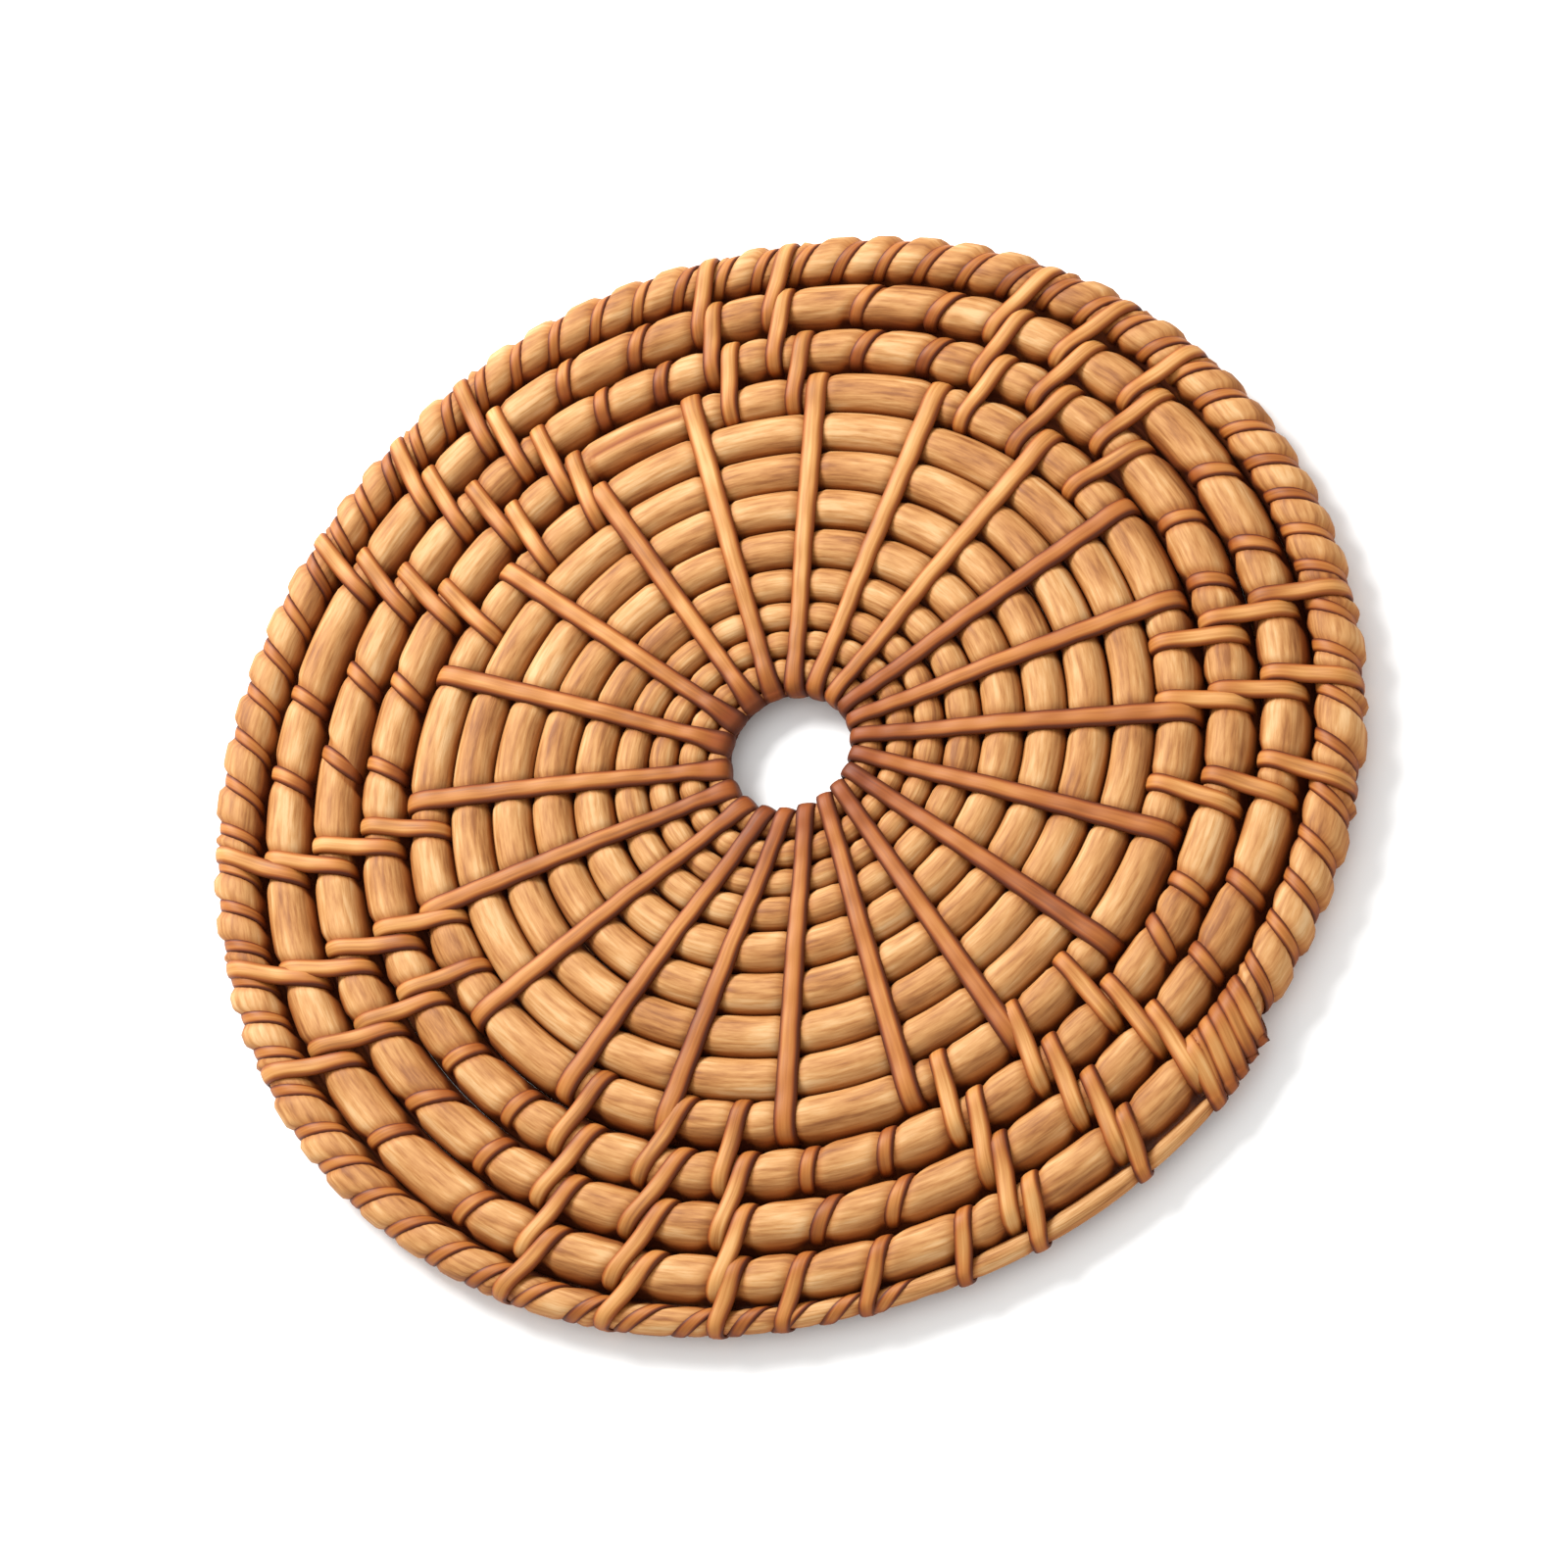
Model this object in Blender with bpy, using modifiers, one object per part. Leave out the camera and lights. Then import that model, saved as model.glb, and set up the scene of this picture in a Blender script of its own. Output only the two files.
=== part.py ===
"""Round seat pad of coiled rattan. One long rod is wound flat in a spiral round an open eye, and flat
strips of split cane hold the coils: 20 long lashings through the eye, 20 ladders of stitches over the
outer coils, and a close binding round the rim. The rod is about 8 m long, so it is butted from lengths.
"""

from math import atan2, ceil, cos, floor, hypot, pi, sin

import bpy
from mathutils import Vector

MM = 0.001

# The spiral is worked out at STATIONS points a turn. Angles are degrees, anticlockwise from +X.
STATIONS = 36
START_ANGLE = 90
FIELD_END = 3360  # the coils lie side by side up to here, and are spaced by the stitches after it
RIM_START = 4285
BINDING_END = 4610
END_ANGLE = 4650

EYE_RADIUS = 20.8 * MM
ROD = 13.5 * MM
EYE_ROD = 9.4 * MM  # the rod is shaved thinner where it bends round the eye
NOSE = 2.0 * MM
TAIL = 6.0 * MM
NOSE_LENGTH = 150  # degrees over which the nose grows as thick as the eye's rod
EYE_LIFT = 2.5 * MM  # how far the first turn swings out to clear its own nose
CLEARANCE = 0.3 * MM
FIELD_GAP = 0.5 * MM
STITCHED_GAP = 3.3 * MM
TAIL_GAP = 2.0 * MM
CORE_LENGTHS = 9
BINDING_LENGTHS = 3

STRAP = 1.2 * MM
LASHING_WIDTH = 4.2 * MM
LADDER_WIDTH = 4.6 * MM
STRAP_CORNER = 2.0 * MM
LASHING_ANGLES = (
    1, 18.5, 35, 51.5, 70.5, 89, 108, 126, 145, 164, 185, 203, 222, 240, 256, 273.5, 291.5, 307.5, 325.5, 343)
LASHING_OFFSET = 3.6 * MM  # how far the lashings pass from the centre, which makes them swirl
LASHING_SWING = 4.0 * MM  # and how much that grows on the side away from LASHING_CALM
LASHING_CALM = 80
LASHING_HOLE = EYE_RADIUS - 1.6 * MM
LADDER_ANGLES = (
    4, 13.5, 45, 56.5, 66.5, 93, 102.5, 130, 141, 155, 190, 207, 215, 244.5, 259.5, 267, 297.5, 311, 320, 351)
LADDER_LEAN = 1.2  # degrees that the outer end falls behind the inner one
LEG_ROOM = 0.7 * MM  # what a leaning strap needs beside the rim

ROD_HEIGHT = STRAP + CLEARANCE + ROD / 2
PAD_HEIGHT = 2 * ROD_HEIGHT


def clear_scene():
    for old in list(bpy.data.objects):
        bpy.data.objects.remove(old)


def rattan(name, colour, roughness):
    material = bpy.data.materials.new(name)
    material.use_nodes = True
    shader = material.node_tree.nodes["Principled BSDF"]
    shader.inputs["Base Color"].default_value = (*colour, 1)
    shader.inputs["Roughness"].default_value = roughness
    shader.inputs["Metallic"].default_value = 0
    return material


def ramp(value, start, end):
    """0 before start, 1 after end, straight between."""
    return min(1, max(0, (value - start) / (end - start)))


def station_of(angle):
    return (angle - START_ANGLE) * STATIONS / 360


def diameter_at(station):
    """The coil's thickness: a thin nose, thin round the eye, full in two steps, a thin tail."""
    angle = START_ANGLE + station * 360 / STATIONS
    nose = NOSE + (EYE_ROD - NOSE) * ramp(angle, START_ANGLE, START_ANGLE + NOSE_LENGTH)
    body = nose + (ROD - EYE_ROD) * (ramp(angle, 1170, 1300) + ramp(angle, 1530, 1660)) / 2
    return body - (ROD - TAIL) * ramp(angle, 4545, 4600)


def gap_at(station):
    """The gap between this coil and the one inside it."""
    angle = START_ANGLE + station * 360 / STATIONS
    opened = FIELD_GAP + (STITCHED_GAP - FIELD_GAP) * ramp(angle, FIELD_END - 20, FIELD_END + 5)
    return opened - (STITCHED_GAP - TAIL_GAP) * ramp(angle, 4570, 4600)


def spiral_radii():
    """Each coil lies against the one inside it, so its radius follows from that one's."""
    radii = []
    for station in range(int(station_of(END_ANGLE)) + 1):
        if station < STATIONS:
            lift = EYE_LIFT * ramp(station, 0.6 * STATIONS, STATIONS)
            radii.append(EYE_RADIUS + diameter_at(station) / 2 + lift)
        else:
            inside = station - STATIONS
            spacing = (diameter_at(inside) + diameter_at(station)) / 2 + gap_at(station)
            radii.append(radii[inside] + spacing)
    return radii


RADII = spiral_radii()


def point_at(station):
    """A point of the coil's centre line, also between two stations."""
    before = min(int(station), len(RADII) - 2)
    part = station - before
    ends = []
    for index in (before, before + 1):
        angle = 2 * pi * index / STATIONS + START_ANGLE * pi / 180
        ends.append((RADII[index] * cos(angle), RADII[index] * sin(angle)))
    return tuple(a + (b - a) * part for a, b in zip(*ends))


def coil_spline(name, start, end, thickness, caps):
    """A tube along the spiral, as thick at each station as thickness() says."""
    middle = list(range(ceil(start), floor(end) + 1))
    stations = [start] + [s for s in middle if start < s < end] + [end]
    curve = bpy.data.curves.new(name, "CURVE")
    curve.dimensions = "3D"
    curve.twist_mode = "Z_UP"
    curve.bevel_depth = ROD / 2
    curve.bevel_resolution = 2
    curve.render_resolution_u = 0
    curve.use_fill_caps = caps
    spline = curve.splines.new("POLY")
    spline.points.add(len(stations) - 1)
    for point, station in zip(spline.points, stations):
        point.co = (*point_at(station), ROD_HEIGHT, 1)
        point.radius = thickness(station) / ROD
    return bpy.data.objects.new(name, curve)


def trimmed(start, end):
    """The same stretch with half a clearance off each end."""
    chord = 2 * pi * RADII[int(start)] / STATIONS
    return start + CLEARANCE / 2 / chord, end - CLEARANCE / 2 / chord


def seams(start, end, count):
    """Stations that part a stretch of the coil into equal lengths, each in the middle of a chord."""
    steps = [s + 0.5 for s in range(int(start), int(end))]
    travelled = [0]
    for a, b in zip(steps, steps[1:]):
        (ax, ay), (bx, by) = point_at(a), point_at(b)
        travelled.append(travelled[-1] + hypot(bx - ax, by - ay))
    wanted = [travelled[-1] * part / count for part in range(1, count)]
    inner = [min(zip(travelled, steps), key=lambda pair: abs(pair[0] - length))[1] for length in wanted]
    return [start, *inner, end]


def core_lengths():
    """The spiral rod, from its nose at the eye to where the bound rim begins."""
    marks = seams(0, station_of(RIM_START), CORE_LENGTHS)
    return [
        coil_spline(f"core_length_{number:02d}", *trimmed(start, end), diameter_at, True)
        for number, (start, end) in enumerate(zip(marks, marks[1:]), 1)
    ]


def rim_core():
    """The last turn: thinner under its binding, and bare along the tail."""

    def thickness(station):
        bound = 1 - ramp(station, station_of(BINDING_END), station_of(BINDING_END) + 1)
        return diameter_at(station) - 2 * (STRAP + CLEARANCE) * bound

    start, end = trimmed(station_of(RIM_START), station_of(END_ANGLE))
    return coil_spline("rim_core", start, end, thickness, True)


def rim_bindings():
    """The close winding of cane round the rim, as a thin sleeve for each strip that it takes."""
    marks = seams(station_of(RIM_START) + 1, station_of(BINDING_END), BINDING_LENGTHS)
    sleeves = []
    for number, (start, end) in enumerate(zip(marks, marks[1:]), 1):
        sleeve = coil_spline(f"rim_binding_{number}", *trimmed(start, end), diameter_at, False)
        wall = sleeve.modifiers.new("wall", "SOLIDIFY")
        wall.thickness = STRAP
        wall.offset = -1
        sleeves.append(sleeve)
    return sleeves


def add_outline(curve, left, right, bottom, top, corner):
    """A rectangle with its corners cut off."""
    points = (
        (left + corner, bottom), (right - corner, bottom), (right, bottom + corner), (right, top - corner),
        (right - corner, top), (left + corner, top), (left, top - corner), (left, bottom + corner),
    )
    spline = curve.splines.new("POLY")
    spline.points.add(len(points) - 1)
    for point, (x, y) in zip(spline.points, points):
        point.co = (x, y, 0, 1)
    spline.use_cyclic_u = True


def strap_loop(name, inner, outer, width):
    """A flat strip of cane round the coils between two legs: over the top, down, back under and up."""
    span = hypot(outer[0] - inner[0], outer[1] - inner[1])
    curve = bpy.data.curves.new(name, "CURVE")
    curve.dimensions = "2D"
    curve.fill_mode = "BOTH"
    curve.extrude = width / 2
    curve.render_resolution_u = 0
    half = STRAP / 2
    add_outline(curve, -half, span + half, 0, PAD_HEIGHT, STRAP_CORNER)
    add_outline(curve, half, span - half, STRAP, PAD_HEIGHT - STRAP, STRAP_CORNER - half)
    strap = bpy.data.objects.new(name, curve)
    strap.location = (*inner, 0)
    strap.rotation_euler = (pi / 2, 0, atan2(outer[1] - inner[1], outer[0] - inner[0]))
    return strap


def polar(radius, angle):
    return radius * cos(angle), radius * sin(angle)


def gap_radius(angle):
    """The middle of the first gap outside the close field, at this angle in degrees."""
    turns = ceil((FIELD_END - angle) / 360)
    station = station_of(angle + 360 * turns)
    return hypot(*point_at(station)) - diameter_at(station) / 2 - gap_at(station) / 2


def rim_radius(angle):
    """Just outside the rim's binding, or outside the bare tail."""
    turns = floor((END_ANGLE - angle) / 360)
    station = station_of(angle + 360 * turns)
    return hypot(*point_at(station)) + diameter_at(station) / 2 + STRAP / 2 + LEG_ROOM


def radial_lashings():
    """Each lashing runs from the eye to the gap outside the field, past the centre by its offset."""
    lashings = []
    for number, angle in enumerate(LASHING_ANGLES, 1):
        far = gap_radius(angle)
        offset = LASHING_OFFSET - LASHING_SWING * cos((angle - LASHING_CALM) * pi / 180)
        heading = angle * pi / 180 - atan2(offset, far)
        inner = polar(LASHING_HOLE, heading + atan2(offset, LASHING_HOLE))
        outer = polar(far, angle * pi / 180)
        lashings.append(strap_loop(f"radial_lashing_{number:02d}", inner, outer, LASHING_WIDTH))
    return lashings


def ladder_stitches():
    """Each ladder runs from the same gap out over the stitched coils and round the rim."""
    ladders = []
    for number, angle in enumerate(LADDER_ANGLES, 1):
        behind = angle - LADDER_LEAN
        inner = polar(gap_radius(angle), angle * pi / 180)
        outer = polar(rim_radius(behind), behind * pi / 180)
        ladders.append(strap_loop(f"ladder_stitch_{number:02d}", inner, outer, LADDER_WIDTH))
    return ladders


def centre_on_origin(pieces):
    """Hangs the pieces on an empty, moved so that the middle of the pad's box is at the origin."""
    bpy.context.view_layer.update()
    shift = []
    for axis in (0, 1):
        spots = [(piece.matrix_world @ Vector(corner))[axis] for piece in pieces for corner in piece.bound_box]
        shift.append(-(min(spots) + max(spots)) / 2)
    centre = bpy.data.objects.new("eye_centre", None)
    centre.location = (*shift, 0)
    for piece in pieces:
        piece.parent = centre
    return centre


def build():
    clear_scene()
    collection = bpy.data.collections.new("seat_pad")
    bpy.context.scene.collection.children.link(collection)
    peeled_core = rattan("peeled_rattan_core", (0.62, 0.33, 0.13), 0.5)
    split_cane = rattan("split_rattan_cane", (0.48, 0.2, 0.06), 0.38)
    rods = core_lengths() + [rim_core()]
    strips = rim_bindings() + radial_lashings() + ladder_stitches()
    for pieces, material in ((rods, peeled_core), (strips, split_cane)):
        for piece in pieces:
            piece.data.materials.append(material)
            collection.objects.link(piece)
    collection.objects.link(centre_on_origin(rods + strips))


build()
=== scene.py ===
import math
import random

import bpy
from mathutils import Matrix, Vector


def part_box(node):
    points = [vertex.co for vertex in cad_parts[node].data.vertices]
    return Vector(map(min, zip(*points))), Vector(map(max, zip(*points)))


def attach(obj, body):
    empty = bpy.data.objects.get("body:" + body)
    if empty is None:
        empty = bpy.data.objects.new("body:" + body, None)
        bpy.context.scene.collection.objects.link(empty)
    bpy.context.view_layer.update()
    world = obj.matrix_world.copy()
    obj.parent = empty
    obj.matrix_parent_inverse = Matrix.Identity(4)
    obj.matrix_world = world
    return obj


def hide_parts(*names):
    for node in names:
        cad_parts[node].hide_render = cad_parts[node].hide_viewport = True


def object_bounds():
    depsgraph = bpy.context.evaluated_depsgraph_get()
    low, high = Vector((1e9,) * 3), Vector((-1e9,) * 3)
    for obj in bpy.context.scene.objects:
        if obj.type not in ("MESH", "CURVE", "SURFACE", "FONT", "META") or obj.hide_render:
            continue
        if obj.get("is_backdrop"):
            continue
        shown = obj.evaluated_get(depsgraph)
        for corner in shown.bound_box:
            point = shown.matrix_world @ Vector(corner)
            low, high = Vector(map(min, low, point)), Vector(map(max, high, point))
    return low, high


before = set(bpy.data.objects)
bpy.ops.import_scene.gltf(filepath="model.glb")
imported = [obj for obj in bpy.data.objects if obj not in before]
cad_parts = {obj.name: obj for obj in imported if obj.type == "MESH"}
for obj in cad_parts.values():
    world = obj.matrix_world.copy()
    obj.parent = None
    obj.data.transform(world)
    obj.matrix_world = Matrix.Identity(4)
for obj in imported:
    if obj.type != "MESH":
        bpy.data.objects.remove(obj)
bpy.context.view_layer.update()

# --- Coiled rattan rod -------------------------------------------------------------------------------
# One peeled rattan rod, steamed and wound flat round an open eye. It is shaved thinner near the eye and
# butted from ten lengths, with each cut under a strip, and every strip that is drawn tight pinches it.

MM = 0.001
PAD_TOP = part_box("radial_lashing_01")[1][2]
ROD_MID = PAD_TOP / 2
EYE_CENTRE = Vector((5.343 * MM, 3.695 * MM, 0))

START_ANGLE = 90  # angles along the rod are degrees, anticlockwise from +X
FIELD_END = 3360  # the coils touch up to here and are spaced by the stitches after it
RIM_START = 4285
BINDING_END = 4610
END_ANGLE = 4650
EYE_RADIUS = 20.8 * MM
ROD = 13.5 * MM
EYE_ROD = 9.4 * MM
NOSE = 2 * MM
TAIL = 6 * MM
CLOSE_GAP = 0.5 * MM  # between the coils of the field, then between the outer ones, then at the tail
OPEN_GAP = 3.3 * MM
TAIL_GAP = 2 * MM
NOSE_LIFT = 2.5 * MM  # the end of the first turn eases outward by this, to pass outside the nose
STEP = 2  # degrees between the stations that the spiral is worked out at


def ramp(value, start, end):
    return min(1, max(0, (value - start) / (end - start)))


def ease(value, start, end):
    part = ramp(value, start, end)
    return part * part * (3 - 2 * part)


def rod_across(angle):
    """The rod's thickness: a thin nose, thin round the eye, full in two steps, a thin tail."""
    nose = NOSE + (EYE_ROD - NOSE) * ramp(angle, START_ANGLE, START_ANGLE + 150)
    body = nose + (ROD - EYE_ROD) * (ramp(angle, 1170, 1300) + ramp(angle, 1530, 1660)) / 2
    return body - (ROD - TAIL) * ramp(angle, 4545, 4600)


def coil_gap(angle):
    """The space to the coil inside: closed in the field, open where strips pass between the coils."""
    opened = CLOSE_GAP + (OPEN_GAP - CLOSE_GAP) * ramp(angle, FIELD_END - 20, FIELD_END + 5)
    return opened - (OPEN_GAP - TAIL_GAP) * ramp(angle, 4570, 4600)


coil_radii = []
for station in range((END_ANGLE - START_ANGLE) // STEP + 1):
    angle = START_ANGLE + station * STEP
    if angle < START_ANGLE + 360:
        lift = NOSE_LIFT * ramp(angle, START_ANGLE + 216, START_ANGLE + 360)
        coil_radii.append(EYE_RADIUS + rod_across(angle) / 2 + lift)
    else:
        spacing = (rod_across(angle - 360) + rod_across(angle)) / 2 + coil_gap(angle)
        coil_radii.append(coil_radii[station - 360 // STEP] + spacing)


def coil_radius(angle):
    place = min(max(0, (angle - START_ANGLE) / STEP), len(coil_radii) - 1.001)
    before = int(place)
    return coil_radii[before] + (coil_radii[before + 1] - coil_radii[before]) * (place - before)


def around(angle, radius, height=0.0):
    """A point at this angle, in degrees, and radius from the eye's centre."""
    turn = math.radians(angle)
    return EYE_CENTRE + Vector((radius * math.cos(turn), radius * math.sin(turn), height))


def linear(hex_colour):
    """An sRGB hex colour as linear RGBA."""
    parts = [int(hex_colour[i:i + 2], 16) / 255 for i in (1, 3, 5)]
    return (*[c / 12.92 if c <= 0.04045 else ((c + 0.055) / 1.055) ** 2.4 for c in parts], 1)


def add_node(tree, kind, settings=(), links=(), values=()):
    """Adds a node. Links and values go to its inputs, by their names or their places in its list."""
    node = tree.nodes.new(kind)
    for name, value in dict(settings).items():
        setattr(node, name, value)
    for socket, output in dict(links).items():
        tree.links.new(output, node.inputs[socket])
    for socket, value in dict(values).items():
        node.inputs[socket].default_value = value
    return node


def colour_band(tree, factor, stops):
    """A colour ramp from (place, hex) stops."""
    band = add_node(tree, "ShaderNodeValToRGB", links={"Fac": factor})
    elements = band.color_ramp.elements
    elements[0].position, elements[-1].position = stops[0][0], stops[-1][0]
    for place, _ in stops[1:-1]:
        elements.new(place)
    for element, (_, colour) in zip(elements, stops):
        element.color = linear(colour)
    return band


# Painted shade, and the strips' own tone: how the wood's colour is darkened, from none to the brown of the
# deepest painted shade in the grooves.
SHADE_AND_TONE = ((0, "#ffffff"), (0.35, "#e8ceac"), (0.7, "#c08d59"), (1, "#744828"))
TONE_LENGTH = 38 * MM  # the size of the slow changes of tone along the rod and round it
TONE_WIDTH = 8 * MM
UNEVEN = 0.35  # how patchily the painted shade follows the fibres
FIBRE_DEPTH = 0.15 * MM


def rattan(name, stops, fibre_mm, streak_mm, roughness, bump):
    """Rattan along the UV map, whose unit is a metre: fibres, slow tone changes, painted shade in the
    grooves.
    """
    material = bpy.data.materials.new(name)
    material.use_nodes = True
    tree = material.node_tree
    shader = tree.nodes["Principled BSDF"]
    place = add_node(tree, "ShaderNodeUVMap", {"uv_map": "length"}).outputs["UV"]
    along = add_node(tree, "ShaderNodeMapping", links={"Vector": place},
                     values={"Scale": (1 / (streak_mm * MM), 1 / (fibre_mm * MM), 1)}).outputs["Vector"]
    fibres = add_node(tree, "ShaderNodeTexNoise", {"noise_dimensions": "2D"}, {"Vector": along},
                      {"Scale": 1, "Detail": 3, "Roughness": 0.6}).outputs["Fac"]
    slow = add_node(tree, "ShaderNodeMapping", links={"Vector": place},
                    values={"Scale": (1 / TONE_LENGTH, 1 / TONE_WIDTH, 1)}).outputs["Vector"]
    tone = add_node(tree, "ShaderNodeTexNoise", {"noise_dimensions": "2D"}, {"Vector": slow},
                    {"Scale": 1, "Detail": 2}).outputs["Fac"]
    mixed = add_node(tree, "ShaderNodeMix", {"data_type": "FLOAT"}, {"A": fibres, "B": tone},
                     {"Factor": 0.5}).outputs["Result"]
    wood = colour_band(tree, mixed, stops).outputs["Color"]
    # The rods' and strips' painted shade, with each strip's own tone, darkens the wood by a multiply,
    # patchily along the fibres.
    shade_and_tone = add_node(tree, "ShaderNodeAttribute", {"attribute_name": "shade_and_tone"}).outputs["Fac"]
    uneven = add_node(tree, "ShaderNodeMath", {"operation": "MULTIPLY_ADD"}, {0: fibres, 2: shade_and_tone},
                      {1: UNEVEN}).outputs["Value"]
    centred = add_node(tree, "ShaderNodeMath", {"operation": "SUBTRACT"}, {0: uneven},
                       {1: UNEVEN / 2}).outputs["Value"]
    brown = colour_band(tree, centred, SHADE_AND_TONE).outputs["Color"]
    # A colour mix has its factor first, its two colours at 6 and 7, and its result at 2.
    darkened_colour = add_node(tree, "ShaderNodeMix", {"data_type": "RGBA", "blend_type": "MULTIPLY"},
                       {6: wood, 7: brown}, {0: 1}).outputs[2]
    tree.links.new(darkened_colour, shader.inputs["Base Color"])
    shine = add_node(tree, "ShaderNodeMapRange", links={"Value": fibres},
                     values={"To Min": roughness - 0.08, "To Max": roughness + 0.12}).outputs["Result"]
    tree.links.new(shine, shader.inputs["Roughness"])
    grooves = add_node(tree, "ShaderNodeBump", links={"Height": fibres},
                       values={"Strength": bump, "Distance": FIBRE_DEPTH}).outputs["Normal"]
    tree.links.new(grooves, shader.inputs["Normal"])
    shader.inputs["Specular IOR Level"].default_value = 0.25
    return material


def sweep(name, rings, darkened, lengths, arounds, closed, material):
    """A tube or strip from rings of points; lengths and arounds are the UV map's metres."""
    count = len(rings[0])
    points = [p for ring in rings for p in ring]
    faces = []
    uvs = []
    for k in range(len(rings) if closed else len(rings) - 1):
        after = (k + 1) % len(rings)
        for i in range(count):
            j = (i + 1) % count
            faces.append((k * count + i, k * count + j, after * count + j, after * count + i))
            a, b = lengths[k], lengths[k + 1]
            c, d = arounds[i], arounds[i + 1]
            uvs += [(a, c), (a, d), (b, d), (b, c)]
    if not closed:
        last = (len(rings) - 1) * count
        faces += [tuple(reversed(range(count))), tuple(range(last, last + count))]
        uvs += [(length, c) for length in (lengths[0], lengths[-1]) for c in arounds[:count]]
    mesh = bpy.data.meshes.new(name)
    mesh.from_pydata(points, [], faces)
    layer = mesh.uv_layers.new(name="length")
    layer.uv.foreach_set("vector", [value for uv in uvs for value in uv])
    # Each point's painted shade, with a strip's own tone, for the material to darken the wood by.
    shade_and_tone = mesh.attributes.new("shade_and_tone", "FLOAT", "POINT")
    shade_and_tone.data.foreach_set("value", [value for ring in darkened for value in ring])
    mesh.shade_smooth()
    mesh.materials.append(material)
    piece = bpy.data.objects.new(name, mesh)
    bpy.context.scene.collection.objects.link(piece)
    return piece


# Peeled core: pale honey wood fibre, slightly open-grained, so it looks satin and a little streaked.
peeled_core = rattan(
    "peeled_rattan_core",
    ((0.32, "#875227"), (0.44, "#a6703c"), (0.55, "#bb8953"), (0.68, "#cea777")),
    fibre_mm=1.5, streak_mm=15, roughness=0.6, bump=1.0)

# Each lashing: the angle of its outer end, and how brown its strip is.
LASHINGS = (
    (1, 0.4), (18.5, 0.35), (35, 0.45), (51.5, 0.05), (70.5, 0), (89, 0), (108, 0), (126, 0.15), (145, 0.2),
    (164, 0.2), (185, 0.2), (203, 0.25), (222, 0.25), (240, 0.3), (256, 0.3), (273.5, 0.35), (291.5, 0.35),
    (307.5, 0.45), (325.5, 0.5), (343, 0.45))

# A row for each ladder of stitches, from the rim inward: where each stitch starts on its outer coil and
# where it ends on its inner coil.
LADDERS = (
    ((3, 5.3), (2.3, 3.9), (1.6, 3.5)),
    ((13, 15), (12.3, 14), (10.7, 12.7)),
    ((45.2, 47.4), (44, 45.7), (40.5, 43.4)),
    ((54.3, 58.3), (54.5, 57.3), (53.3, 55.5)),
    ((63.7, 67.7), (64.3, 66.5), (63.3, 65.3)),
    ((93.3, 96.2), (93.7, 95.7), (91.2, 92.8)),
    ((102, 105), (102.3, 104.3), (101, 102.8)),
    ((131, 133.7), (130.3, 132.5), (127.7, 130), (126, 129.5)),
    ((139.7, 144), (140, 143.7), (138.3, 140.7), (136.8, 140.5)),
    ((152.3, 156.7), (151.7, 157), (151.3, 156), (151, 155.6)),
    ((187, 192.3), (188.7, 192.7), (188.3, 191.7), (187, 190.7)),
    ((199.3, 205.3), (201.7, 206.7), (201.7, 206.7), (202, 206)),
    ((211.3, 216), (211.7, 216), (212.3, 216), (211.8, 215.5)),
    ((245.3, 248.7), (245.3, 248), (244, 247), (242.7, 244.7)),
    ((255.7, 260), (255.3, 259.7), (255, 260.3), (254.5, 258.8)),
    ((266.7, 269), (266.3, 269.3), (265.7, 269), (265.2, 267.2)),
    ((298, 300.5), (296.5, 299.7), (296.3, 299.7), (295.2, 297.5)),
    ((309.3, 312), (308.7, 312), (307.7, 311.3), (306.6, 310.3)),
    ((318.7, 321.7), (318.7, 322.3), (319, 321.7), (318, 320.2)),
    ((352, 354.7), (349.7, 352.3), (348, 350.5)))

# Single wraps: where along the rod each starts, and the degrees that it leans forward over the coil.
WRAPS = tuple((turn * 360 + angle, lean) for turn, row in (
    (11, ((20.3, 2.7), (31, 2.7), (73, 2.7), (83, 2.3), (110.7, 3), (120.3, 2.7), (169, 2.3), (178.5, 2.5),
          (224.3, 2.4), (237.3, 2))),
    (10, ((18.3, 2), (28.3, 1.7), (72.3, 2.4), (81.7, 2.6), (109.7, 2.3), (118.3, 2), (165, 3.3), (176, 3.7),
          (224, 3.7), (235.7, 1.6), (276.7, 3), (285, 3.3), (328.7, 2), (338, 2.3))),
    (9, ((165.3, 3.7), (177.7, 2.8), (223.7, 2), (235, 1.3), (276, 1.3), (285.7, 2), (328.3, 3.4),
         (336.3, 1.4))),
) for angle, lean in row)


def lashing_line(angle):
    """A lashing's direction, its distance beside the eye's centre, and how far out it goes."""
    outside = angle + 360 * math.ceil((FIELD_END - angle) / 360)
    far = coil_radius(outside) - rod_across(outside) / 2 - coil_gap(outside) / 2
    offset = (3.6 - 4 * math.cos(math.radians(angle - 80))) * MM
    return math.radians(angle) - math.atan2(offset, far), offset, far


def outer_coils(angle):
    """The coils at this angle from the rim inward to the field's first one, as angles along the rod."""
    last = angle + 360 * math.floor((END_ANGLE - angle) / 360)
    found = []
    while last > FIELD_END - 360:
        found.append(last)
        last -= 360
    return found


# The binding's turns round the rim, spaced out between the ladders: where each starts along the rod.
BINDING_PITCH = 4.7
BINDING_BACK = 0.8
BINDING_UNEVEN = 0.3
BINDING_SLANT = 0.11
chance = random.Random(4)
anchors = sorted(outer_coils(ladder[0][0])[0] for ladder in LADDERS)
anchors = [RIM_START - 2] + [a for a in anchors if RIM_START < a < BINDING_END] + [BINDING_END]
binding_turns = []
for before, after in zip(anchors, anchors[1:]):
    turns = max(1, round((after - before) / BINDING_PITCH))
    binding_turns += [before + (after - before) * (k + 0.5) / turns - BINDING_BACK
                      + chance.uniform(-BINDING_UNEVEN, BINDING_UNEVEN) for k in range(turns)]


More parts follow.
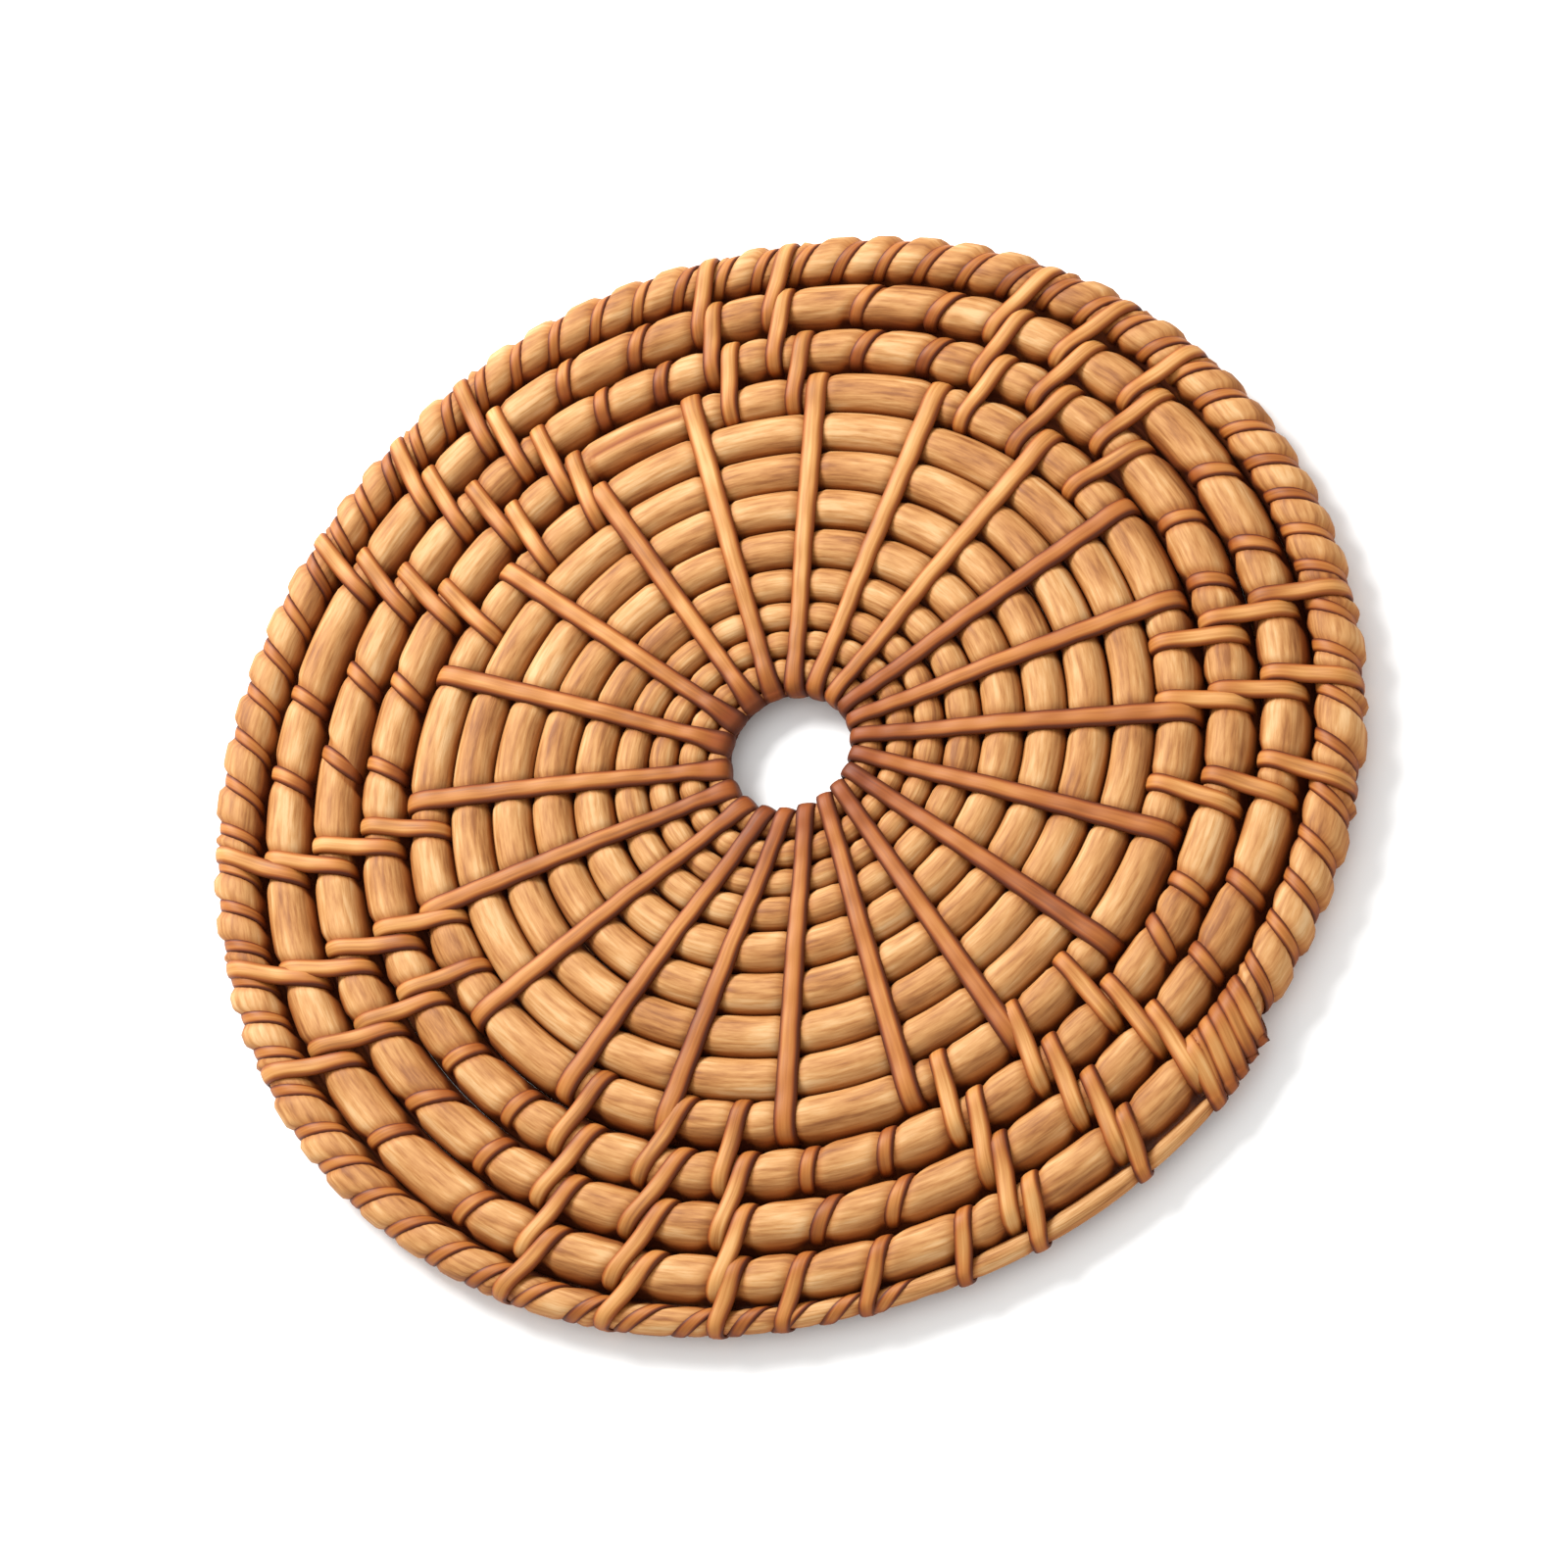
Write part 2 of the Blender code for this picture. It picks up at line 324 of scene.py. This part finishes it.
def wound(side_turn):
    """How far a winding strip has gone to its next turn: it slants more over the top than underneath."""
    return side_turn + BINDING_SLANT * (1 - math.cos(2 * math.pi * side_turn))


lashing_lines = [lashing_line(angle) for angle, _ in LASHINGS]

TAIL_TURN = 12 * 360  # where the turn that the tail is on starts along the rod, and the one inside it
INSIDE_TURN = 11 * 360

# The wraps that hold the rod's thin bare tail down to the coil inside it: where each starts and ends, and
# the millimetres that it is drawn in.
TAIL_WRAPS = ((273, 276, 0), (281, 284.3, 0), (290.5, 293, 0), (318.9, 322.6, 0), (320.5, 324.3, 0.2),
              (322.1, 326, 0.6), (323.7, 327.7, 1.3), (325.3, 329.3, 2.4))

# Every place where a strip crosses the rod outside the field: its angle at the coil's outer side, its
# lean over the coil, and whether it goes on winding or comes back underneath. A stitch does nearly half of
# its lean over each of its two coils, and a wrap at the tail most of it over the thicker one.
crossings = [(place, lean, False) for place, lean in WRAPS]
crossings += [(a, b - a, True) for a, b in zip(binding_turns, binding_turns[1:])]
for ladder in LADDERS:
    coils = outer_coils(ladder[0][0])
    for order, (start, end) in enumerate(ladder):
        shift = start - ladder[0][0]
        lean = end - start
        crossings.append((coils[order] + shift, 0.45 * lean, False))
        crossings.append((coils[order + 1] + shift + 0.55 * lean, 0.45 * lean, False))
for start, end, _ in TAIL_WRAPS:
    crossings.append((start + TAIL_TURN, 0.35 * (end - start), False))
    crossings.append((start + INSIDE_TURN + 0.35 * (end - start), 0.65 * (end - start), False))
near_crossings = {}
for crossing in crossings:
    for degree in range(int(crossing[0]) - 5, int(crossing[0]) + 9):
        near_crossings.setdefault(degree, []).append(crossing)

ROD_SIDES = 20
RING_EVERY = 1.6 * MM
EVEN_SWELL = 0.02  # the share of the gap that the rod's top fills on each side of it all along the rod,
BARE_SWELL = 0.4  # and the further share that it fills at mid-height, away from the strips
RIM_SWELL = 2 * MM  # how far it bulges outward between the turns of the binding
SHOULDER = 0.49  # the share of the gap that its lower half fills, which closes the slots underneath
PINCHED_UP = 0.88  # the share of its height and of its width that the rod keeps under a strip
PINCHED_OUT = 0.95
FULL_UP = 1.01
PINCH_FROM = 2.2 * MM  # the pinch fades, and the slots narrow, over these distances from a strip's middle
PINCH_TO = 5.8 * MM
SLOT_FROM = 3.5 * MM
SLOT_TO = 8.5 * MM
SPLIT = (3347, 3367)  # the rod has split along its top between these angles
SPLIT_DEPTH = 1.3 * MM
CUT_RINGS = 8  # a cut's slant is eased out over this many rings
WAVES = (21 * MM, 47 * MM, 33 * MM, 27 * MM)  # how often it swells (the first two), sways and bobs


def strip_distance(angle, side_turn, spot, radius, lines):
    """How far this point of the rod's surface is from the middle of the nearest strip over the rod."""
    nearest = 1
    for ahead, offset in lines:
        if ahead.dot(spot) > 0:
            nearest = min(nearest, abs(ahead.cross(spot).z - offset))
    for start, lean, winding in near_crossings.get(int(angle), ()):
        share = wound(side_turn) if winding else (1 - math.cos(2 * math.pi * side_turn)) / 2
        aside = math.radians(abs(angle - start - lean * share)) * radius
        nearest = min(nearest, aside + 1 * MM if winding else aside)
    return nearest


def arc_length(start, end):
    count = max(2, int(end - start))
    return sum(math.radians((end - start) / count) * coil_radius(start + (end - start) * (k + 0.5) / count)
               for k in range(count))


def rod_length(name, node, start, end, thinned=lambda angle: 0):
    """A length of rod between two (angle, lean) cuts, each on the slant of the strip that hides it."""
    (start, start_lean), (end, end_lean) = start, end
    growth = random.Random(name)
    phases = [growth.uniform(0, 6.28) for _ in range(4)]
    grain_start = growth.uniform(0, 5)
    count = max(8, round(arc_length(start, end) / RING_EVERY))
    rings, darkened, lengths = [], [], []
    travelled = 0
    for k in range(count + 1):
        angle = start + (end - start) * k / count
        radius = coil_radius(angle)
        if k:
            travelled += math.radians((end - start) / count) * radius
        waves = [math.sin(travelled / length + phase) for length, phase in zip(WAVES, phases)]
        half = (rod_across(angle) - thinned(angle)) / 2 * (1 + 0.007 * (waves[0] + waves[1]))
        sway = 0.18 * MM * waves[2]
        bob = 0.15 * MM * waves[3]
        slant = (start_lean * max(0, 1 - k / CUT_RINGS)
                 + end_lean * max(0, 1 - (count - k) / CUT_RINGS))
        centre = around(angle, 1) - EYE_CENTRE
        lines = []
        if angle < FIELD_END + 5:
            reach = 2 * PINCH_TO + abs(half)
            for heading, aside, _ in lashing_lines:
                ahead = Vector((math.cos(heading), math.sin(heading), 0))
                if ahead.dot(centre) > 0 and abs(ahead.cross(centre * radius).z - aside) < reach:
                    lines.append((ahead, aside))
        ring, brown = [], []
        for i in range(ROD_SIDES):
            turn = 2 * math.pi * i / ROD_SIDES
            spot = centre * (radius + half * math.cos(turn))
            distance = strip_distance(angle, i / ROD_SIDES, spot, radius, lines)
            pressed = 1 - ease(distance, PINCH_FROM, PINCH_TO)
            outside = math.cos(turn) > 0
            gap = coil_gap(angle + 360) if outside else coil_gap(angle)
            widest = 1 - ramp(math.sin(turn), 0.05, 0.55)
            swell = gap * (EVEN_SWELL + BARE_SWELL * widest * ease(distance, SLOT_FROM, SLOT_TO))
            if outside and angle > RIM_START:
                swell = RIM_SWELL * (1 - ramp(angle, 4530, 4590)) * (1 - pressed)
            wide = half * (1 + (PINCHED_OUT - 1) * pressed) + swell
            high = half * (FULL_UP + (PINCHED_UP - FULL_UP) * pressed)
            fullness = 0.8 + 0.2 * pressed  # 1 is an oval section, and less is a squarer one
            out = math.copysign(abs(math.cos(turn)) ** fullness, math.cos(turn)) * wide
            up = math.copysign(abs(math.sin(turn)) ** fullness, math.sin(turn)) * high
            if not (outside and angle > RIM_START):
                low_down = min(ramp(-math.sin(turn), 0.1, 0.5), ramp(-math.sin(turn), 0.95, 0.85))
                shoulder = half + SHOULDER * gap
                out += max(0, shoulder - abs(out)) * low_down * (1 if outside else -1)
            split = (1 - pressed) if SPLIT[0] < angle < SPLIT[1] and i == ROD_SIDES // 4 else 0
            up -= SPLIT_DEPTH * split
            ring.append(around(angle - slant * math.cos(turn) / 2, radius + out + sway, ROD_MID + up + bob))
            # Painted shade: darker down the rod's flanks and all round underneath, in beside the strips
            # where it is pinched, and in the split; less of it on the rim's outer side.
            flank = ease(1 - max(0, math.sin(turn)), 0.3, 0.97)
            if angle > RIM_START and outside:
                flank *= 0.3
            brown.append(min(1, 0.85 * flank + 0.5 * pressed + 0.8 * split))
        rings.append(ring)
        darkened.append(brown)
        lengths.append(travelled + grain_start)
    girth = [math.pi * ROD * i / ROD_SIDES for i in range(ROD_SIDES + 1)]
    piece = sweep(name, rings, darkened, lengths, girth, False, peeled_core)
    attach(piece, "root")
    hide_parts(node)


def hidden_cut(angle):
    """The nearest place, with its lean, where a strip crosses the rod and hides a cut."""
    if angle < FIELD_END - 10:
        reach = coil_radius(angle)
        shifts = [math.degrees(heading + math.asin(offset / reach)) - angle
                  for heading, offset, _ in lashing_lines]
        return angle + min(((shift + 180) % 360 - 180 for shift in shifts), key=abs), 0
    place, lean, _ = min(crossings, key=lambda crossing: abs(crossing[0] + crossing[1] / 2 - angle))
    return place + lean / 2, lean


# Nine even lengths up to the bound rim: each cut is looked for by halving.
CORE_LENGTHS = 9
cuts = [(START_ANGLE, 0)]
rod_total = arc_length(START_ANGLE, RIM_START)
even = START_ANGLE
for number in range(1, CORE_LENGTHS):
    low, high = even, RIM_START
    for _ in range(24):
        even = (low + high) / 2
        if arc_length(START_ANGLE, even) < rod_total * number / CORE_LENGTHS:
            low = even
        else:
            high = even
    cuts.append(hidden_cut(even))
cuts.append((binding_turns[0] + 2.6, 2))  # under the first turn of the binding
for number in range(CORE_LENGTHS):
    rod_length(f"coil_rod_{number + 1:02d}", f"core_length_{number + 1:02d}", cuts[number], cuts[number + 1])


def tail_taper(angle):
    """The rim's bare tail thins to a point."""
    return 3 * MM * ramp(angle, 4625, 4646)


rod_length("rim_rod", "rim_core", cuts[-1], (END_ANGLE - 7, 0), tail_taper)

# --- Radial lashings ---------------------------------------------------------------------------------
# Twenty flat strips of split cane, each drawn tight from the eye over the close coils, down the first
# gap, back underneath and up through the eye. They crowd edge to edge where they bend into the eye.

# Split cane: the hard outer skin of the rattan, amber and smoother than the core, with fine pale fibres.
split_cane = rattan(
    "split_rattan_cane",
    ((0.3, "#8c5524"), (0.43, "#a96f34"), (0.56, "#bf884c"), (0.7, "#d2a56b")),
    fibre_mm=1.0, streak_mm=30, roughness=0.52, bump=0.7)

CANE = 5.5 * MM  # the width that the fibres are drawn for

# The strip's half-round cross-section: share of half its width, share of its thickness.
STRIP_SECTION = ((-1, 0), (-0.98, 0.36), (-0.84, 0.72), (-0.45, 0.95), (0, 1), (0.45, 0.95), (0.84, 0.72),
                 (0.98, 0.36), (1, 0), (0.8, -0.1), (0, -0.1), (-0.8, -0.1))


def strip(name, stations, closed):
    """A strip through (point, normal, width, thickness, painted shade and tone) stations, its flat back to
    the rods.
    """
    rings, darkened, lengths = [], [], [random.Random(name).uniform(0, 5)]
    count = len(stations)
    for k, (point, normal, width, thick, brown) in enumerate(stations):
        before = stations[k - 1][0] if k or closed else point
        after = stations[(k + 1) % count][0] if k < count - 1 or closed else point
        ahead = (after - before).normalized()
        up = (normal - ahead * normal.dot(ahead)).normalized()
        side = ahead.cross(up) * (width / 2)
        rings.append([point + side * x + up * (y * thick) for x, y in STRIP_SECTION])
        # Painted shade along the strip's rounded edges.
        darkened.append([min(1, brown + 0.8 * ease(abs(x), 0.4, 0.98)) for x, _ in STRIP_SECTION])
        lengths.append(lengths[-1] + (stations[(k + 1) % count][0] - point).length)
    across = [CANE * share for share in (0, 0.06, 0.15, 0.32, 0.5, 0.68, 0.85, 0.94, 1, 1.1, 1.5, 1.9, 2)]
    piece = sweep(name, rings, darkened, lengths, across, closed, split_cane)
    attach(piece, "root")
    return piece


def rounded(points, spacing):
    """A closed Catmull-Rom curve through (along, height) points, sampled about every spacing."""
    result = []
    count = len(points)
    for k in range(count):
        p0, p1, p2, p3 = (Vector(points[(k + n) % count]) for n in (-1, 0, 1, 2))
        pieces = max(2, round((p2 - p1).length / spacing))
        for part in range(pieces):
            t = part / pieces
            result.append(0.5 * (2 * p1 + (p2 - p0) * t + (2 * p0 - 5 * p1 + 4 * p2 - p3) * t * t
                                 + (3 * p1 - p0 - 3 * p2 + p3) * t * t * t))
    return result


def under_too(top):
    """The outline over the top, carried on underneath as its mirror image."""
    return top + [(reach, 2 * ROD_MID - height) for reach, height in top[-2:0:-1]]


def sunk(height, half):
    """How far down between the coils a strip is, from 0 on top of them to 1 at their middle."""
    return ease(1 - abs(height - ROD_MID) / half, 0.25, 0.95)


LASHING_WIDTH = 7.2 * MM
WAIST_WIDTH = 5.8 * MM
WAIST_REACH = 14 * MM
LASHING_THICK = 1.9 * MM
LASHING_SAG = 0.3 * MM  # how far it dips between two coils
GAP_THICK = 1.1 * MM
EYE_EDGE = EYE_RADIUS + 0.2 * MM
eye_turns = [heading + math.asin(offset / EYE_EDGE) for heading, offset, _ in lashing_lines]

for number, ((angle, tone), (heading, offset, far)) in enumerate(zip(LASHINGS, lashing_lines)):
    direction = Vector((math.cos(heading), math.sin(heading), 0))
    origin = EYE_CENTRE + Vector((-math.sin(heading), math.cos(heading), 0)) * offset
    crests = []
    for turn in range(14):
        coil = math.degrees(heading) % 360 + 360 * turn
        if coil < START_ANGLE + 6:
            continue
        coil += math.degrees(math.asin(offset / coil_radius(coil)))
        reach = coil_radius(coil)
        if reach > far:
            break
        crests.append((math.sqrt(reach ** 2 - offset ** 2), rod_across(coil) / 2))
    first_half = crests[0][1]
    last, last_half = crests[-1]
    near_side = math.sqrt(EYE_EDGE ** 2 - offset ** 2)
    top = [(near_side, ROD_MID), (near_side + 0.25 * first_half, ROD_MID + 0.66 * first_half)]
    for k, (reach, half) in enumerate(crests):
        top.append((reach, ROD_MID + half * PINCHED_UP))
        if k < len(crests) - 1:
            after, after_half = crests[k + 1]
            top.append(((reach + half + after - after_half) / 2,
                        ROD_MID + (half + after_half) / 2 * PINCHED_UP - LASHING_SAG))
    top += [(last + last_half * 0.75, ROD_MID + last_half * 0.64), (last + last_half + 0.3 * MM, ROD_MID)]
    route = rounded(under_too(top), RING_EVERY)
    beside = [(eye_turns[number] - eye_turns[(number + n) % len(LASHINGS)] + math.pi) % math.tau - math.pi
              for n in (-1, 1)]
    eye_width = 0.5 * EYE_EDGE * (abs(beside[0]) + abs(beside[1]))
    stations = []
    for k, p in enumerate(route):
        step = route[(k + 1) % len(route)] - route[k - 1]
        depth = sunk(p.y, ROD / 2)
        # A lashing's colour value: its own tone, plus painted shade where it goes down between the coils and
        # round its ends, and more near the eye.
        stations.append((
            origin + direction * p.x + Vector((0, 0, p.y)), direction * -step.y + Vector((0, 0, step.x)),
            eye_width + (WAIST_WIDTH - eye_width) * ease(p.x, near_side, near_side + WAIST_REACH)
            + (LASHING_WIDTH - WAIST_WIDTH) * ramp(p.x, near_side + WAIST_REACH, last),
            LASHING_THICK + (GAP_THICK - LASHING_THICK) * depth,
            tone + 0.5 * depth + 0.25 * (1 - ease(p.x, 20 * MM, 45 * MM))))
    piece = strip(f"lashing_{number + 1:02d}", stations, True)
    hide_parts(f"radial_lashing_{number + 1:02d}")

# --- Ladders of long stitches ------------------------------------------------------------------------
# Groups of long stitches of the same cane, each over two coils and leaning forward as it goes inward.
# Each next stitch takes one coil of the one outside it, so they make a ladder from rim to field.


STITCH_SAG = 0.5 * MM
STITCH_RING_EVERY = 1.4 * MM


def stitch_round(name, outer, inner, start, end, width, thick, lift, tone):
    """A closed band round two coils, or round one when outer and inner are the same."""
    outer_reach, outer_half = coil_radius(outer), (rod_across(outer) - tail_taper(outer)) / 2
    inner_reach, inner_half = coil_radius(inner), (rod_across(inner) - tail_taper(inner)) / 2
    top = []
    for turn in (0, 28, 58, 90):
        up = math.radians(turn)
        top.append((outer_reach + (outer_half * PINCHED_OUT + lift) * math.cos(up),
                    ROD_MID + (outer_half * PINCHED_UP + lift) * math.sin(up)))
    if inner != outer:
        middle = (outer_reach - outer_half + inner_reach + inner_half) / 2
        top.append((middle, ROD_MID + (outer_half + inner_half) / 2 * PINCHED_UP - STITCH_SAG))
        top.append((inner_reach, ROD_MID + inner_half * PINCHED_UP))
    for turn in (122, 152, 180):
        down = math.radians(turn)
        top.append((inner_reach + inner_half * PINCHED_OUT * math.cos(down),
                    ROD_MID + inner_half * PINCHED_UP * math.sin(down)))
    route = rounded(under_too(top), STITCH_RING_EVERY)
    low, high = inner_reach - inner_half, outer_reach + outer_half
    stations = []
    for k, p in enumerate(route):
        gone = (high - p.x) / (high - low)
        angle = start + (end - start) * gone
        step = route[(k + 1) % len(route)] - route[k - 1]
        outward = around(angle, 1) - EYE_CENTRE
        depth = sunk(p.y, inner_half * PINCHED_UP)
        # The stitch's tone, plus painted shade where it goes down between and round the coils, and over the
        # inner coil.
        stations.append((
            around(angle, p.x, p.y), outward * step.y + Vector((0, 0, -step.x)),
            width * (1 - 0.15 * depth), thick + (min(thick, GAP_THICK) - thick) * depth,
            tone + 0.6 * depth + 0.3 * ease(gone, 0.5, 0.8)))
    return strip(name, stations, True)


STITCH_WIDTH = 6 * MM
STITCH_THICK = 1.8 * MM
RIM_LIFT = 0.3 * MM  # the outermost stitch goes over the binding

for number, ladder in enumerate(LADDERS, 1):
    coils = outer_coils(ladder[0][0])
    for order, (start, end) in enumerate(ladder):
        shift = start - ladder[0][0]
        lean = end - start
        piece = stitch_round(f"ladder_{number:02d}_stitch_{order + 1}", coils[order] + shift + 0.2 * lean,
                             coils[order + 1] + shift + 0.8 * lean, start, end, STITCH_WIDTH, STITCH_THICK,
                             0 if order else RIM_LIFT, 0)
        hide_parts(f"ladder_stitch_{number:02d}")

# --- Short wraps between the ladders -----------------------------------------------------------------
# Where there is no ladder the strip takes one coil at a time: a single slanted wrap on each coil between
# the rim and the field, in line with the wraps on its neighbours.

WRAP_WIDTH = 5.2 * MM
WRAP_THICK = 1.2 * MM

for number, (place, lean) in enumerate(WRAPS, 1):
    coil = place + lean / 2
    # Painted shade: the wraps are given a darker tone than the stitches.
    stitch_round(f"wrap_{number:02d}", coil, coil, place, place + lean, WRAP_WIDTH, WRAP_THICK, 0, 0.3)

# --- Rim binding -------------------------------------------------------------------------------------
# The last coil is wound with the same strip about 70 times, which gives the pad its scalloped edge. Three
# strips follow each other, and each turn slants forward over the top.

BINDING_WIDTH = 4.2 * MM
BINDING_THICK = 0.9 * MM
BINDING_STEPS = 28
BINDING_STRIPS = 3

for number in range(BINDING_STRIPS):
    first = (len(binding_turns) - 1) * number // BINDING_STRIPS
    last = (len(binding_turns) - 1) * (number + 1) // BINDING_STRIPS
    stations = []
    tucked = BINDING_STEPS // 4 if number == BINDING_STRIPS - 1 else 0
    for k in range(first * BINDING_STEPS, last * BINDING_STEPS + 1 - tucked):
        order = min(k // BINDING_STEPS, last - 1)
        side_turn = k / BINDING_STEPS - order
        angle = binding_turns[order] + (binding_turns[order + 1] - binding_turns[order]) * wound(side_turn)
        turn = 2 * math.pi * side_turn
        half = rod_across(angle) / 2
        outward = (around(angle, 1) - EYE_CENTRE) * (half * PINCHED_OUT * math.cos(turn))
        place = outward + Vector((0, 0, half * PINCHED_UP * math.sin(turn)))
        # Painted shade: the binding is darker all over, and more on its flanks.
        stations.append((around(angle, coil_radius(angle), ROD_MID) + place, place, BINDING_WIDTH,
                         BINDING_THICK, 0.4 + 0.4 * ease(1 - abs(math.sin(turn)), 0.3, 1)))
    piece = strip(f"rim_binding_strip_{number + 1}", stations, False)
    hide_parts(f"rim_binding_{number + 1}")

# --- Finishing wraps at the tail ---------------------------------------------------------------------
# The thin bare tail of the rod is caught down to the coil inside it by a few long wraps, then bound over
# by a bundle of close, steep ones, and the end of the strip is tucked under them.

TAIL_WRAP_WIDTH = 5.6 * MM
TAIL_WRAP_THICK = 1.4 * MM

for number, (start, end, drawn_in) in enumerate(TAIL_WRAPS, 1):
    stitch_round(f"tail_wrap_{number}", start + TAIL_TURN + 0.6, end + INSIDE_TURN - 0.6, start, end,
                 TAIL_WRAP_WIDTH, TAIL_WRAP_THICK, (0.2 - drawn_in) * MM, 0.15)

# --- Floor, light and camera -------------------------------------------------------------------------
# The pad lies on a floor of pale matt paper in even white light, with one soft light high on the left
# behind it to bring out the rods and strips.

bpy.ops.mesh.primitive_plane_add(size=8, location=(0, 0, 0))
floor = bpy.context.object
floor.name = "studio_floor"
paper = bpy.data.materials.new("pale_paper")
paper.use_nodes = True
matt = paper.node_tree.nodes["Principled BSDF"]
matt.inputs["Base Color"].default_value = linear("#f4f4f3")
matt.inputs["Roughness"].default_value = 0.9
floor.data.materials.append(paper)
floor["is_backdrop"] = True

scene = bpy.context.scene
scene.view_settings.view_transform = "Standard"
world = bpy.data.worlds.new("studio")
world.use_nodes = True
world.node_tree.nodes["Background"].inputs["Color"].default_value = linear("#ffffff")
world.node_tree.nodes["Background"].inputs["Strength"].default_value = 1
scene.world = world

LIGHT_PLACE = Vector((-1.1, 1.02, 1.15))
softbox = bpy.data.lights.new("key_light", "AREA")
softbox.size = 0.8
softbox.energy = 56
key_light = bpy.data.objects.new("key_light", softbox)
key_light.location = LIGHT_PLACE
key_light.rotation_euler = (-LIGHT_PLACE).to_track_quat("-Z", "Y").to_euler()
scene.collection.objects.link(key_light)

# The camera looks down at the pad from a third of a right angle off its axis, and is rolled so that the
# pad's +X points right in its view.
TILT = math.radians(29.8)
ROLL = math.radians(36.42)
CAMERA_AWAY = 1.53
AIM_LEFT = 2.2 * MM  # from the eye's centre to the middle of the view
AIM_DOWN = 9.9 * MM
near = Vector((math.sin(ROLL), -math.cos(ROLL), 0))
level = Vector((math.cos(ROLL), math.sin(ROLL), 0))
toward = near * math.sin(TILT) + Vector((0, 0, math.cos(TILT)))
lower = near * math.cos(TILT) - Vector((0, 0, math.sin(TILT)))
right = level * math.cos(ROLL) + lower * math.sin(ROLL)
upward = level * math.sin(ROLL) - lower * math.cos(ROLL)
target = EYE_CENTRE + Vector((0, 0, ROD_MID)) - right * AIM_LEFT - upward * AIM_DOWN
camera_data = bpy.data.cameras.new("camera")
camera_data.sensor_width = 36
camera_data.lens = 110.5
camera = bpy.data.objects.new("camera", camera_data)
scene.collection.objects.link(camera)
camera.location = target + toward * CAMERA_AWAY
camera.rotation_euler = Matrix((right, upward, toward)).transposed().to_euler()
scene.camera = camera

bpy.context.view_layer.update()
low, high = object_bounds()
